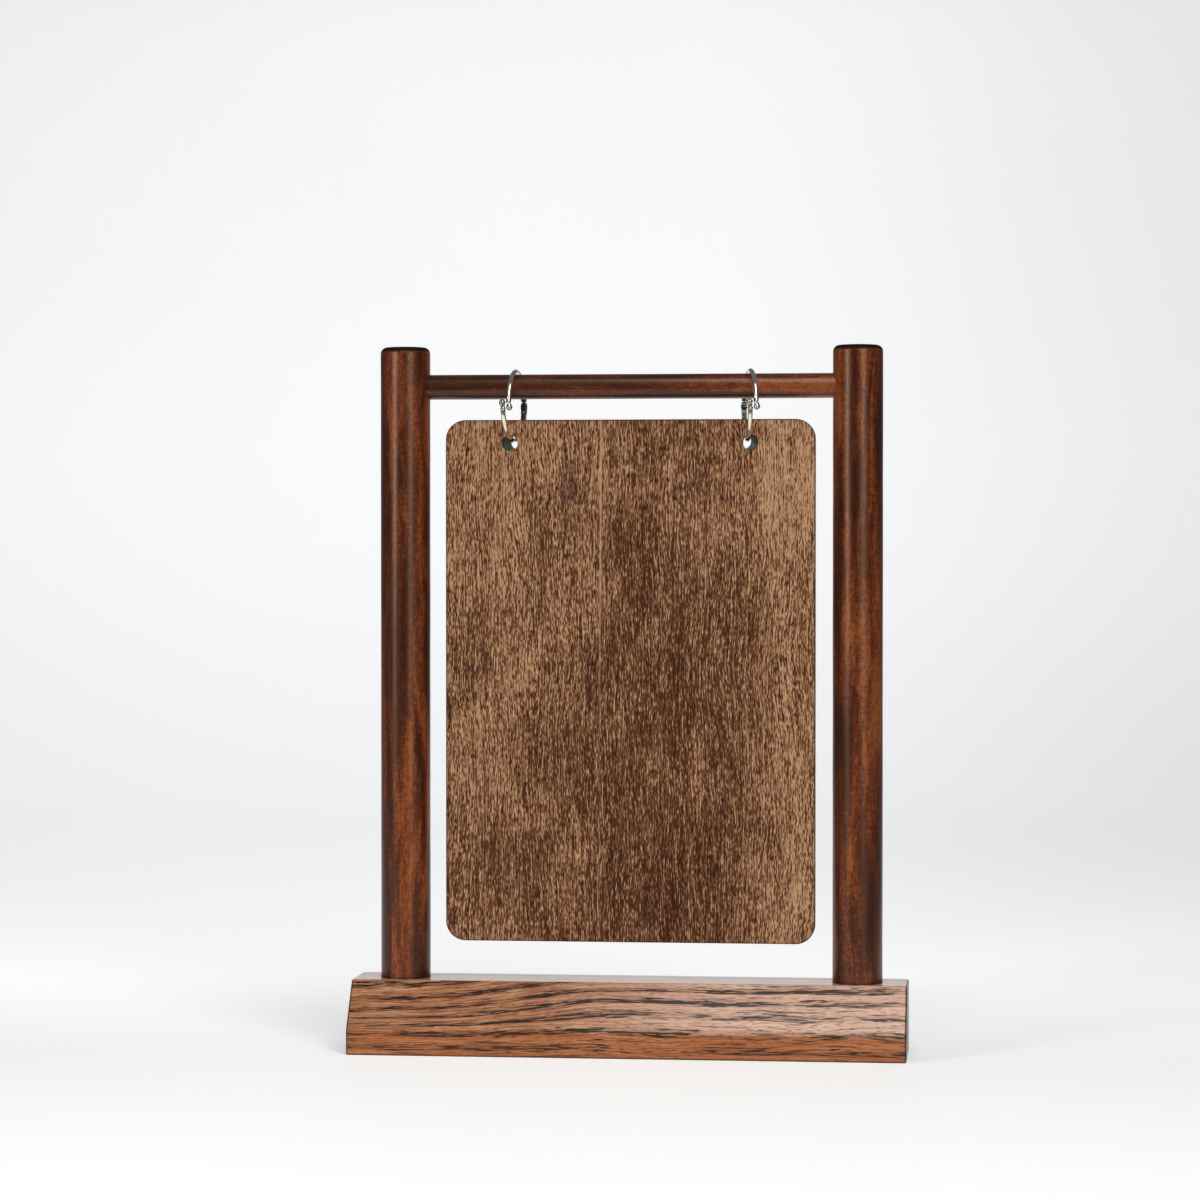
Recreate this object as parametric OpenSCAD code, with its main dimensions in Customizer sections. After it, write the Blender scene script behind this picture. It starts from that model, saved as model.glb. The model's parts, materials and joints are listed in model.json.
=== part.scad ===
// Tabletop stand with a board and a backing panel that hang from a crossbar on two hinged rings.
// Origin: centre of the base's underside. +X runs along the base, +Y to the back, +Z up. Millimetres.

/* [Base] */
// Length of the base along X
base_len = 223; // [206:1:260]
// Depth of the base at its underside
base_depth = 40; // [36:0.5:60]
// Height of the base
base_h = 28.7; // [26:0.1:40]
// Height of the upright strip under the sloped front face
base_front_h = 10; // [6:0.5:14]
// How far the sloped front face leans back
base_slope_run = 14; // [8:0.5:16]
// Radius that eases the base's long edges
base_ease = 0.8; // [0.3:0.1:1.2]

/* [Posts and crossbar] */
// Diameter of the two posts
post_d = 20; // [18:0.5:22]
// Distance between the posts' axes
post_spacing = 182.6; // [178:0.1:184]
// Height of the posts' tops over the table
post_top_z = 283.2; // [282:0.1:300]
// Radius of the rounded rim on each post's top
post_round = 2.6; // [1:0.1:4]
// Depth of the sockets that hold the posts
post_socket = 12; // [8:0.5:14]
// Distance from the base's rear face to the posts' axes
post_from_back = 14; // [13:0.5:16]
// Diameter of the crossbar
bar_d = 10; // [8:0.5:10]
// Distance from the posts' tops down to the crossbar's axis
bar_drop = 16.1; // [12:0.1:16.2]
// Depth of the sockets that hold the crossbar
bar_socket = 8; // [5:0.5:12]

/* [Board and panel] */
// Width of the front board
board_w = 149; // [140:1:150]
// Height of the front board
board_h = 210; // [190:1:210]
// Thickness of the front board
board_t = 3; // [2.6:0.1:3]
// Corner radius of the front board and the panel
board_r = 8; // [4:0.5:12]
// Distance between the front board's two holes
board_hole_spacing = 97; // [96.8:0.1:97.2]
// Distance from the front board's top edge to its holes
board_hole_drop = 9.4; // [8:0.1:10.2]
// Diameter of the holes in the board and the panel
hole_d = 6.2; // [6.2:0.1:6.4]
// Width of the backing panel
panel_w = 145; // [130:1:147]
// Height of the backing panel
panel_h = 205; // [180:1:206]
// Thickness of the backing panel
panel_t = 2; // [1.5:0.1:2.2]
// Distance between the panel's two holes
panel_hole_spacing = 90.8; // [90.7:0.1:91.2]
// Distance from the panel's top edge to its holes
panel_hole_drop = 7.6; // [6:0.1:8]

/* [Rings] */
// Clear inner diameter of the rings
ring_in_d = 25.8; // [25.6:0.1:26.4]
// Diameter of the ring wire
wire_d = 1.9; // [1.7:0.1:1.9]
// Place of the left ring along the crossbar
ring_left_x = -46.7; // [-46.8:0.05:-46.6]
// Place of the right ring along the crossbar
ring_right_x = 47.6; // [47.6:0.05:47.8]
// Turn of the left ring about the vertical
ring_left_turn = -8; // [-8:0.5:-7]
// Turn of the right ring about the vertical
ring_right_turn = 11.5; // [10.5:0.5:11.5]
// Sideways splay of each half ring from its ring's middle plane
half_splay = 2.4; // [2.3:0.05:2.5]
// Angle by which each half ring runs past the ring's middle at the catch
catch_overlap = 4; // [3.5:0.5:6]

/* [Screws] */
// Diameter of the screws that hold the posts
screw_d = 4; // [3.5:0.1:4.5]
// Overall length of those screws
screw_len = 35; // [30:1:38]
// Depth of the recess over each screw head
screw_recess = 3; // [2:0.5:5]

/* [Hidden] */
$fn = 96;
eps = 0.01;
glue_gap = 0.05;                       // radial gap of the glued sockets
hang_gap = 0.2;                        // gap between a ring and the crossbar it hangs on
panel_gap = 0.3;                       // gap between the front board and the panel

post_x = post_spacing / 2;
post_y = base_depth / 2 - post_from_back;
post_r = post_d / 2;
post_foot_z = base_h - post_socket;
bar_z = post_top_z - bar_drop;
bar_half = post_x - post_r + bar_socket;

wire_r = wire_d / 2;
ring_r = (ring_in_d + wire_d) / 2;     // radius of the wire's centre line
ring_z = bar_z - (ring_in_d / 2 - bar_d / 2 - hang_gap);
hole_z = ring_z - ring_r - 1.15;       // height of the front board's holes
panel_hole_z = hole_z + 0.6;
stack_front_y = post_y - (board_t + panel_gap + panel_t) / 2 + 0.25;
board_y = stack_front_y;               // front face of the front board
panel_y = stack_front_y + board_t + panel_gap;

knuckle_r = 1.8;                       // radius of the hinge eyes
tongue_t = 0.7;                        // thickness of the upper half's eye
cheek_t = 0.55;                        // thickness of each of the lower half's eyes
cheek_gap = 0.1;                       // side gap between the eyes
pin_r = 0.6;
pin_run = 0.04;                        // running gap of the pin in the upper half's eye
knuckle_clear = 0.35;                  // gap between an eye and the other half's wire
knob_r = 1.3;                          // radius of the knob on each half's free end
knob_out = 0.3;                        // how far each knob sits to the outer side of its wire
fork_half_w = tongue_t / 2 + cheek_gap + cheek_t;
wire_from_pin = asin((knuckle_r + knuckle_clear) / ring_r);

wood_dark = [0.23, 0.10, 0.06];
wood_mid = [0.62, 0.42, 0.28];
board_brown = [0.45, 0.31, 0.21];
panel_green = [0.17, 0.22, 0.20];
nickel = [0.78, 0.78, 0.76];
zinc = [0.70, 0.68, 0.62];

// ---- shapes that repeat ----

// Points of an arc that eases an outline's corner
function arc(c, r, a0, a1, n = 6) =
    [for (i = [0 : n]) c + r * [cos(a0 + (a1 - a0) * i / n), sin(a0 + (a1 - a0) * i / n)]];

// Flat rectangle with rounded corners, its lower edge centred on the origin
module rounded_plate_outline(w, h, r) {
    translate([-w / 2 + r, 0]) square([w - 2 * r, h]);
    translate([-w / 2, r]) square([w, h - 2 * r]);
    for (x = [-w / 2 + r, w / 2 - r], y = [r, h - r])
        translate([x, y]) circle(r = r);
}

// Upright plate with two hanging holes, its front face at front_y
module hanging_plate(w, h, t, front_y, top_z, spacing, holes_z) {
    translate([0, front_y + t, top_z - h])
        rotate([90, 0, 0])
            linear_extrude(t)
                difference() {
                    rounded_plate_outline(w, h, board_r);
                    for (x = [-spacing / 2, spacing / 2])
                        translate([x, holes_z - top_z + h]) circle(d = hole_d);
                }
}

// Stretch of ring wire in the YZ plane: 0 degrees is at the hinge, 90 at the top, 180 at the catch
module ring_wire(from, to) {
    rotate([90, 0, 90])
        rotate([0, 0, from])
            rotate_extrude(angle = to - from)
                translate([ring_r, 0]) circle(r = wire_r, $fn = 32);
}

// Turns a half ring sideways about the upright line through its hinge
module splayed(angle) {
    translate([0, ring_r, 0]) rotate([0, 0, angle]) translate([0, -ring_r, 0]) children();
}

// Puts a ring's pieces in their place on the crossbar
module on_bar(x, turn) {
    translate([x, post_y, ring_z]) rotate([0, 0, turn]) children();
}

// Round disc along X at the hinge pin
module eye(r, half_w) {
    translate([-half_w, ring_r, 0]) rotate([0, 90, 0]) cylinder(r = r, h = 2 * half_w);
}

// Small ball on the free end of a half ring, a little to one side of the wire
module knob(angle, side) {
    translate([side * knob_out, ring_r * cos(angle), ring_r * sin(angle)]) sphere(r = knob_r, $fn = 32);
}

// ---- stand ----

module base() {
    half = base_depth / 2;
    e = base_ease;
    slope_angle = atan2(base_h - base_front_h, base_slope_run);
    outline = concat(
        [[-half, e], [-half, base_front_h]],
        arc([-half + base_slope_run + e * tan(slope_angle / 2), base_h - e], e, 90 + slope_angle, 90),
        arc([half - e, base_h - e], e, 90, 0),
        [[half, e], [half - e, 0], [-half + e, 0]]
    );
    color(wood_mid)
    difference() {
        translate([-base_len / 2, 0, 0]) rotate([90, 0, 90]) linear_extrude(base_len) polygon(outline);
        for (x = [-post_x, post_x]) translate([x, post_y, 0]) {
            translate([0, 0, post_foot_z]) cylinder(r = post_r + glue_gap, h = post_socket + 1);
            translate([0, 0, -1]) cylinder(d = screw_d + 0.4, h = base_h);
            translate([0, 0, -1]) cylinder(d = 2 * screw_d + 0.6, h = screw_recess + 1);
            translate([0, 0, screw_recess - eps])
                cylinder(r1 = screw_d + 0.3, r2 = screw_d / 2 + 0.2, h = screw_d / 2 + 0.1);
        }
    }
}

module post(side) {
    bar_mouth_x = side > 0 ? -post_r - 1 : post_r - bar_socket;
    color(wood_dark)
    translate([side * post_x, post_y, 0])
    difference() {
        translate([0, 0, post_foot_z])
            rotate_extrude()
                polygon(concat(
                    [[0, 0], [post_r, 0]],
                    arc([post_r - post_round, post_top_z - post_foot_z - post_round], post_round, 0, 90),
                    [[0, post_top_z - post_foot_z]]
                ));
        translate([bar_mouth_x, 0, bar_z])
            rotate([0, 90, 0]) cylinder(r = bar_d / 2 + glue_gap, h = bar_socket + 1);
        translate([0, 0, post_foot_z - 1])
            cylinder(r = screw_d / 2 + glue_gap, h = screw_recess + screw_len - post_foot_z + 2);
    }
}

module post_left() { post(-1); }

module post_right() { post(1); }

module crossbar() {
    color(wood_dark)
    translate([-bar_half, post_y, bar_z]) rotate([0, 90, 0]) cylinder(d = bar_d, h = 2 * bar_half);
}

// Countersunk wood screw, driven up through the base
module post_screw(side) {
    head_h = screw_d / 2;
    core_r = screw_d / 2 * 0.68;
    pitch = 1.8;
    thread_z = screw_len * 0.4;
    tip_h = 5;
    turns = floor((screw_len - thread_z - tip_h) / pitch);
    color(zinc)
    translate([side * post_x, post_y, screw_recess])
    difference() {
        union() {
            cylinder(r1 = screw_d, r2 = screw_d / 2, h = head_h);
            translate([0, 0, head_h - eps]) cylinder(r = core_r, h = screw_len - head_h - tip_h + 2 * eps);
            for (i = [0 : turns - 1])
                translate([0, 0, thread_z + i * pitch]) {
                    cylinder(r1 = core_r, r2 = screw_d / 2, h = pitch * 0.35);
                    translate([0, 0, pitch * 0.35]) cylinder(r1 = screw_d / 2, r2 = core_r, h = pitch * 0.35);
                }
            translate([0, 0, screw_len - tip_h]) cylinder(r1 = core_r, r2 = 0.1, h = tip_h);
        }
        for (a = [0, 90])
            rotate([0, 0, a]) translate([-screw_d * 0.55, -0.45, -1]) cube([screw_d * 1.1, 0.9, 2.4]);
    }
}

module post_screw_left() { post_screw(-1); }

module post_screw_right() { post_screw(1); }

// ---- board and panel ----

module menu_board() {
    color(board_brown)
    hanging_plate(board_w, board_h, board_t, board_y, hole_z + board_hole_drop, board_hole_spacing, hole_z);
}

module back_panel() {
    color(panel_green)
    hanging_plate(panel_w, panel_h, panel_t, panel_y,
                  panel_hole_z + panel_hole_drop, panel_hole_spacing, panel_hole_z);
}

// ---- rings ----

// Lower half: carries the board, ends in a fork with two eyes that hold the pin
module lower_half() {
    root = knuckle_r + knuckle_clear;
    color(nickel) {
        difference() {
            union() {
                eye(knuckle_r, fork_half_w);
                translate([-fork_half_w, ring_r - 1.2, -root - 1.6]) cube([2 * fork_half_w, 2.4, root + 1.6]);
                splayed(-half_splay) {
                    ring_wire(180 - catch_overlap, 360 - wire_from_pin);
                    knob(180 - catch_overlap, -1);
                }
            }
            eye(root, tongue_t / 2 + cheek_gap);
            eye(pin_r, fork_half_w + 1);
        }
    }
}

// Upper half: hangs over the crossbar, ends in a single eye between the lower half's two
module upper_half() {
    root = knuckle_r + knuckle_clear;
    color(nickel) {
        difference() {
            union() {
                eye(knuckle_r, tongue_t / 2);
                translate([-tongue_t / 2, ring_r - 1.2, 0]) cube([tongue_t, 2.4, root + 0.8]);
                translate([-fork_half_w, ring_r - 1.2, root]) cube([2 * fork_half_w, 2.4, 1.6]);
                splayed(half_splay) {
                    ring_wire(wire_from_pin, 180 + catch_overlap);
                    knob(180 + catch_overlap, 1);
                }
            }
            eye(pin_r + pin_run, fork_half_w + 1);
        }
    }
}

// Hinge pin with a low domed head on each side
module hinge_pin() {
    color(zinc) {
        eye(pin_r, fork_half_w + 0.1);
        for (side = [-1, 1])
            translate([side * (fork_half_w + eps), ring_r, 0]) rotate([0, side * 90, 0])
                cylinder(r1 = 0.95, r2 = 0.6, h = 0.15);
    }
}

module ring_left_lower() { on_bar(ring_left_x, ring_left_turn) lower_half(); }

module ring_left_upper() { on_bar(ring_left_x, ring_left_turn) upper_half(); }

module ring_left_pin() { on_bar(ring_left_x, ring_left_turn) hinge_pin(); }

module ring_right_lower() { on_bar(ring_right_x, ring_right_turn) lower_half(); }

module ring_right_upper() { on_bar(ring_right_x, ring_right_turn) upper_half(); }

module ring_right_pin() { on_bar(ring_right_x, ring_right_turn) hinge_pin(); }

base();
post_left();
post_right();
crossbar();
post_screw_left();
post_screw_right();
menu_board();
back_panel();
ring_left_lower();
ring_left_upper();
ring_left_pin();
ring_right_lower();
ring_right_upper();
ring_right_pin();
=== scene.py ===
"""Looks for the hanging menu board stand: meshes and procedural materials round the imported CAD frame."""

import json
import math

import bmesh
import bpy
from mathutils import Matrix, Vector, noise


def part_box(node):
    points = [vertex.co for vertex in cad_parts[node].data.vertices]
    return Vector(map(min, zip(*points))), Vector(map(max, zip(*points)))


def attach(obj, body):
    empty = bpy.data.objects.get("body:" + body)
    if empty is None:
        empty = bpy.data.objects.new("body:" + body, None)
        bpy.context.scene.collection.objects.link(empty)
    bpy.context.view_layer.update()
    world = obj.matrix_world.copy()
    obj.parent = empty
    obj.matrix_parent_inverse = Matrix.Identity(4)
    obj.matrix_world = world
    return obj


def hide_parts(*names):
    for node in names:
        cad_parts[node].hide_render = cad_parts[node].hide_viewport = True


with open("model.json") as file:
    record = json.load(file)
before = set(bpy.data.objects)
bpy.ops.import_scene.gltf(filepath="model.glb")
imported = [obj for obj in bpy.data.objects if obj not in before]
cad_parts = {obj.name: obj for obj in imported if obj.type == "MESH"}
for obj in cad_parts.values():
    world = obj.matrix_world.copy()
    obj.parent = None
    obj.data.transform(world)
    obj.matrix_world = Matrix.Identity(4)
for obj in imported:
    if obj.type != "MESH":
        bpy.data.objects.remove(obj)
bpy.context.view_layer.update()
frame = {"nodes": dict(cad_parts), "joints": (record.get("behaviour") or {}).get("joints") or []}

MM = 0.001
TAU = 2 * math.pi
joints = {j["name"]: j for j in frame["joints"]}


# ---------------------------------------------------------------- driving values

# camera, fitted to the photograph's edges; angles in degrees, lens in millimetres
CAMERA_AZIMUTH = 6.19
CAMERA_ELEVATION = 0.85
CAMERA_AIM = (-0.01179, 0.002, 0.18139)
CAMERA_DISTANCE = 1.45901
CAMERA_LENS = 109.11

# studio
ROOM_LIGHT = 0.14
KEY_POWER, FILL_POWER, TOP_POWER = 9.8, 9.4, 8.4
WARM, NEUTRAL = (1.0, 0.95, 0.90), (1.0, 0.975, 0.94)
GLOW_EVERYWHERE, GLOW_BEHIND, GLOW_RISING = 0.35, 0.22, 0.03

# stand
BASE_STRIP_H = 10 * MM   # upright strip below the slope
BASE_SLOPE_RUN = 14 * MM
BASE_EASE = 0.9 * MM     # radius of its eased edges
BASE_SWELL = 0.14 * MM   # how far its sanded faces waver
SCREW_GAP = 0.3 * MM     # round a screw's head
FIT_GAP = 0.05 * MM      # round a dowel in its socket
SOCKET_R = 10 * MM + FIT_GAP  # for the 20 mm posts
POST_RIM = 2.6 * MM      # radius of the round at a post's top
DOWEL_EASE = 0.4 * MM

# board and panel
PLATE_CORNER = 8 * MM
HOLE_R = 3.1 * MM        # drops are from a sheet's top edge to its holes' centres
BOARD_HOLE_X, BOARD_HOLE_DROP = 48.5 * MM, 9.4 * MM
PANEL_HOLE_X, PANEL_HOLE_DROP = 45.4 * MM, 7.6 * MM

# rings
WIRE_R = 0.95 * MM
WIRE_START = 9.0         # degrees round the ring from its hinge
CATCH_OVERLAP = 4.0      # degrees past the half circle
SPLAY = math.radians(2.4)  # sideways turn of each half at its hinge, so that the catches pass
KNOB_R = 1.3 * MM
KNOB_OUT = 0.3 * MM      # how far a knob stands aside of its wire
KNOB_BEND = 2.6 * MM     # length of wire that bends out to it
EYE_R = 1.8 * MM
PIN_R = 0.6 * MM
PIN_RUN = 0.04 * MM      # gap between the pin and the upper half's eye
PIN_HEAD_R, PIN_DOME = 0.95 * MM, 0.14 * MM
FORK_HALF = 1.0 * MM     # half the width across the lower half's two eyes
TONGUE_HALF = 0.35 * MM  # half the thickness of the upper half's eye
CHEEK_GAP = 0.1 * MM     # between the upper half's eye and the lower half's two
STRAP_LENGTH = 3.4 * MM
STRAP_EDGE = 0.1 * MM    # bevel of the eyes' and straps' edges

CREASE = 35.0            # degrees between two faces from which their edge shades sharp


# ---------------------------------------------------------------- places taken from the frame

def size_of(node):
    lo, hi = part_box(node)
    return lo, hi, hi - lo


def centre_of(node):
    lo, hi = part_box(node)
    return (lo + hi) / 2


# ---------------------------------------------------------------- node graphs

class Graph:
    """Builds one material's nodes. Lengths in its coordinates are millimetres."""

    def __init__(self, name):
        self.material = bpy.data.materials.new(name)
        self.material.use_nodes = True
        self.tree = self.material.node_tree
        self.tree.nodes.clear()
        self.out = self.tree.nodes.new("ShaderNodeOutputMaterial")
        self.bsdf = self.tree.nodes.new("ShaderNodeBsdfPrincipled")
        self.tree.links.new(self.bsdf.outputs[0], self.out.inputs["Surface"])
        self.coords = self.tree.nodes.new("ShaderNodeTexCoord")
        self.place = self.vmath("SCALE", self.coords.outputs["Object"], scale=1 / MM)
        split = self.add("ShaderNodeSeparateXYZ", Vector=self.place)
        self.x, self.y, self.z = split.outputs

    def add(self, kind, settings=None, **inputs):
        node = self.tree.nodes.new(kind)
        for key, value in (settings or {}).items():
            setattr(node, key, value)
        for key, value in inputs.items():
            self.put(node.inputs[key.replace("_", " ")], value)
        return node

    def put(self, socket, value):
        if isinstance(value, bpy.types.NodeSocket):
            self.tree.links.new(value, socket)
        else:
            socket.default_value = value

    def math(self, operation, a, b=0.0, c=0.0):
        node = self.tree.nodes.new("ShaderNodeMath")
        node.operation = operation
        for socket, value in zip(node.inputs, (a, b, c)):
            self.put(socket, value)
        return node.outputs[0]

    def vmath(self, operation, a, b=(0, 0, 0), scale=None):
        node = self.tree.nodes.new("ShaderNodeVectorMath")
        node.operation = operation
        self.put(node.inputs[0], a)
        self.put(node.inputs[1], b)
        if scale is not None:
            self.put(node.inputs["Scale"], scale)
        return node.outputs["Value" if operation == "LENGTH" else "Vector"]

    def vector(self, x, y, z):
        return self.add("ShaderNodeCombineXYZ", X=x, Y=y, Z=z).outputs[0]

    def stretched(self, cell, offset=(0, 0, 0)):
        """Coordinates in which one unit is a cell of that many millimetres each way."""
        moved = self.vmath("ADD", self.place, offset)
        return self.vmath("MULTIPLY", moved, tuple(1 / c for c in cell))

    def noise(self, vector, detail=2.0, roughness=0.5, distortion=0.0):
        node = self.add("ShaderNodeTexNoise", Vector=vector, Scale=1.0, Detail=detail,
                        Roughness=roughness, Distortion=distortion)
        return node.outputs["Fac"]

    def remap(self, value, lo, hi, to_lo=0.0, to_hi=1.0, smooth=False):
        kind = "SMOOTHSTEP" if smooth else "LINEAR"
        node = self.add("ShaderNodeMapRange", {"interpolation_type": kind})
        for socket, v in zip(node.inputs[:5], (value, lo, hi, to_lo, to_hi)):
            self.put(socket, v)
        return node.outputs[0]

    def layered(self, value, *layers):
        """Adds 0..1 noise layers to a value, each centred on zero and times its weight."""
        for layer, weight in layers:
            centred = self.math("SUBTRACT", layer, 0.5)
            value = self.math("ADD", value, self.math("MULTIPLY", centred, weight))
        return value

    def ramp(self, value, stops):
        node = self.add("ShaderNodeValToRGB", Fac=value)
        elements = node.color_ramp.elements
        while len(elements) < len(stops):
            elements.new(0.5)
        for element, (place, colour) in zip(elements, stops):
            element.position = place
            element.color = (*colour, 1)
        return node.outputs["Color"]

    def mix(self, factor, a, b):
        """Blends two colours. Inputs 6 and 7 and output 2 are a Mix node's colour sockets."""
        node = self.add("ShaderNodeMix", {"data_type": "RGBA"}, Factor=factor)
        for socket, value in ((node.inputs[6], a), (node.inputs[7], b)):
            self.put(socket, (*value, 1) if isinstance(value, tuple) else value)
        return node.outputs[2]

    def bump(self, height, depth_mm, strength=1.0, under=None):
        node = self.add("ShaderNodeBump", Strength=strength, Distance=depth_mm * MM, Height=height)
        if under is not None:
            self.put(node.inputs["Normal"], under)
        return node.outputs[0]

    def surface(self, **inputs):
        for key, value in inputs.items():
            if isinstance(value, tuple) and len(value) == 3:
                value = (*value, 1)
            self.put(self.bsdf.inputs[key.replace("_", " ")], value)
        return self.material


def srgb(r, g, b):
    """Linear colour from 0..255 display values."""
    def channel(v):
        v /= 255
        return v / 12.92 if v <= 0.04045 else ((v + 0.055) / 1.055) ** 2.4
    return tuple(channel(v) for v in (r, g, b))


# ---------------------------------------------------------------- materials

def oak_base():
    """Flat-sawn oak, brown stain under clear lacquer: growth bands made of dark pore dashes."""
    g = Graph("oak_base")
    lo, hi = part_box("base")
    front_y, end_x, strip_top = lo.y / MM, hi.x / MM, BASE_STRIP_H / MM
    band_gap = 6.0  # from one growth band to the next
    # growth lines climb to the right in the left half of the sloped face, then run level
    left = g.math("MINIMUM", g.math("ADD", g.x, 15.0), 0.0)
    step = g.math("TANH", g.math("DIVIDE", g.math("ADD", g.x, 45.0), 26.0))
    rise = g.math("SUBTRACT", g.math("MULTIPLY", left, -0.065), g.math("MULTIPLY", step, 2.6))
    rise = g.math("MULTIPLY", rise, g.remap(g.y, front_y, front_y + 5, 0.2, 1.0))
    wander = g.noise(g.stretched((85, 30, 16)), detail=2, roughness=0.5)
    line = g.math("ADD", g.z, g.math("MULTIPLY", g.y, 0.42))
    # closer lines on the flat top, behind the slope
    on_top = g.math("MAXIMUM", g.math("SUBTRACT", g.y, front_y + 14.5), 0.0)
    line = g.math("ADD", line, g.math("MULTIPLY", on_top, 0.62))
    line = g.math("ADD", line, rise)
    line = g.layered(line, (wander, 7.0))
    shiver = g.noise(g.stretched((16, 5, 4)), detail=3, roughness=0.6)
    phase = g.math("FRACT", g.math("DIVIDE", g.layered(line, (shiver, 1.8)), band_gap))
    band = g.math("MULTIPLY", g.remap(phase, 0.0, 0.14, smooth=True),
                  g.remap(phase, 0.22, 0.74, 1.0, 0.0, smooth=True))
    strength = g.remap(g.noise(g.stretched((34, 20, 5), (11, 3, 5)), detail=2), 0.30, 0.54, 0.30, 1.0)
    band = g.math("MULTIPLY", band, strength)

    def along(length, depth, across, seed, detail, rough=0.55):
        """Noise drawn out along the growth lines."""
        vector = g.vector(g.math("DIVIDE", g.math("ADD", g.x, seed), length),
                          g.math("DIVIDE", g.y, depth),
                          g.math("DIVIDE", line, across))
        return g.noise(vector, detail=detail, roughness=rough)

    # the upright strip below the slope is painted browner, with browner pores, standing in for the sheen it
    # doesn't catch; its bands are slightly fainter
    front_low = g.remap(g.z, strip_top - 1.4, strip_top + 1.0, 1.0, 0.0, smooth=True)
    band = g.math("MULTIPLY", band, g.remap(front_low, 0.0, 1.0, 1.0, 0.92))
    # pores: thin dark dashes that crowd inside the bands
    dash = along(10.0, 1.8, 0.56, 3, 2)
    crowding = g.remap(band, 0.0, 1.0, 0.66, 0.43)
    pores = g.remap(g.math("SUBTRACT", dash, crowding), -0.015, 0.035, smooth=True)
    pores_fine = g.remap(along(3.6, 0.9, 0.46, 17, 1), 0.56, 0.66, smooth=True)
    hairline = g.remap(along(20, 1.8, 0.60, 41, 2), 0.57, 0.63, smooth=True)
    fibre = along(26, 1.6, 0.7, 29, 3, 0.62)
    blotch = g.noise(g.stretched((38, 16, 9), (2, 7, 1)), detail=2, roughness=0.5)

    plain = g.ramp(fibre, [(0.28, srgb(108, 64, 38)),
                           (0.48, srgb(160, 109, 76)),
                           (0.70, srgb(214, 168, 131))])
    # the slope gets paler towards the right, partly the wood's own colour and partly a painted sheen
    pale = g.math("MULTIPLY", g.remap(g.x, -45.0, 50.0, 0.0, 0.65, smooth=True),
                  g.remap(g.z, strip_top - 1.0, strip_top + 3.0, smooth=True))
    plain = g.mix(g.remap(blotch, 0.35, 0.7, 0.0, 0.5), plain, srgb(150, 88, 52))
    plain = g.mix(pale, plain, srgb(214, 180, 162))
    # painted: the strip browner and more saturated, as it catches no sheen
    plain = g.mix(g.math("MULTIPLY", front_low, 0.66), plain, srgb(152, 84, 30))
    banded = g.mix(g.math("MULTIPLY", band, 0.42), plain, srgb(98, 62, 46))
    hairline = g.math("MULTIPLY", hairline, g.remap(front_low, 0.0, 1.0, 0.62, 0.85))
    colour = g.mix(hairline, banded, srgb(66, 34, 18))
    colour = g.mix(g.math("MULTIPLY", pores_fine, 0.50), colour, srgb(60, 32, 20))
    ink = g.mix(front_low, srgb(24, 11, 8), srgb(44, 18, 4))
    colour = g.mix(g.math("MULTIPLY", pores, 0.95), colour, ink)
    # sawn ends drink more stain
    end = g.remap(g.math("ABSOLUTE", g.x), end_x - 1.0, end_x - 0.35, smooth=True)
    colour = g.mix(g.math("MULTIPLY", end, 0.85), colour, srgb(26, 16, 14))
    # painted shadow: the eased edges darker where the base stands on the floor
    low = g.remap(g.z, 0.2, 1.1, 1.0, 0.0, smooth=True)
    colour = g.mix(g.math("MULTIPLY", low, 0.85), colour, srgb(24, 15, 12))
    rough = g.remap(g.math("ADD", g.math("MULTIPLY", pores, 0.5), fibre), 0.2, 1.2, 0.42, 0.62)
    # the flat top was rubbed down and lacquered more heavily than the rest; its paler colour is a painted
    # reflection of the pale room at a grazing angle
    normal_z = g.add("ShaderNodeSeparateXYZ", Vector=g.coords.outputs["Normal"]).outputs[2]
    top = g.remap(normal_z, 0.88, 0.97, smooth=True)
    colour = g.mix(g.math("MULTIPLY", top, 0.45), colour, srgb(216, 170, 134))
    relief = g.math("SUBTRACT", g.math("MULTIPLY", fibre, 0.35), pores)
    relief = g.math("MULTIPLY", relief, g.remap(top, 0.0, 1.0, 1.0, 0.05))
    return g.surface(Base_Color=colour, Roughness=rough, Normal=g.bump(relief, 0.10, 0.5),
                     Specular_IOR_Level=0.15, Coat_Weight=g.remap(top, 0.0, 1.0, 0.38, 0.8),
                     Coat_Roughness=0.17, Coat_Normal=g.bump(relief, 0.05, 0.2))


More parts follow.
